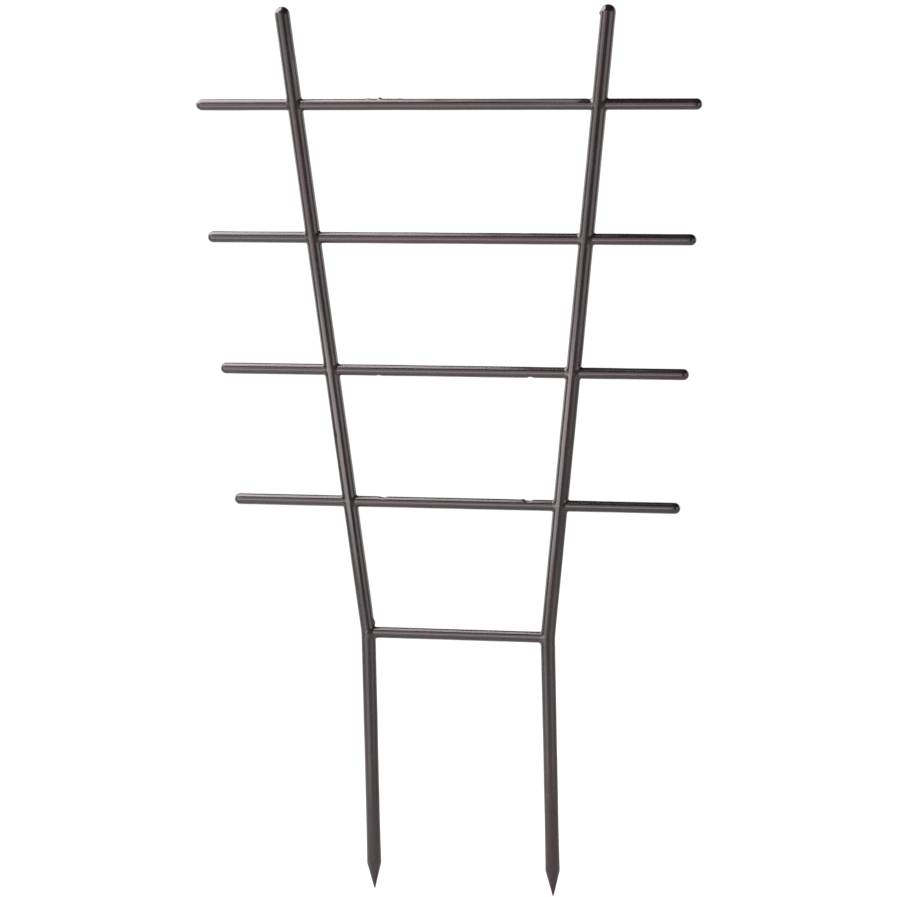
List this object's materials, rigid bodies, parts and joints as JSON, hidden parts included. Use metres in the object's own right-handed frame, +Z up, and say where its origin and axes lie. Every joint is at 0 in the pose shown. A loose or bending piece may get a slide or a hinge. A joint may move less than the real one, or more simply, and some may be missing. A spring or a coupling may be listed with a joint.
{
  "type": "ladder trellis",
  "caption": "Flat ladder trellis of round plastic rods: leaning stiles with pointed feet, crossed by rungs whose rounded arms run on past them, for a climbing plant.",
  "frame": {"origin": "midway between the points of the two feet, in the ladder's middle plane", "axes": "+Z up along the ladder towards its wide head, X across it along the rungs, Y through its thickness"},
  "size_m": [0.2694, 0.0076, 0.4571],
  "materials": {
    "stile_plastic": "dark brown moulded plastic, satin to glossy, with broad soft reflections",
    "rung_plastic": "dark brown moulded plastic, slightly glossier than the stiles"
  },
  "bodies": {
    "root": {"left_stile": "stile_plastic", "right_stile": "stile_plastic", "rung_1": "rung_plastic", "rung_2": "rung_plastic", "rung_3": "rung_plastic", "rung_4": "rung_plastic", "rung_5": "rung_plastic"}
  },
  "joints": []
}
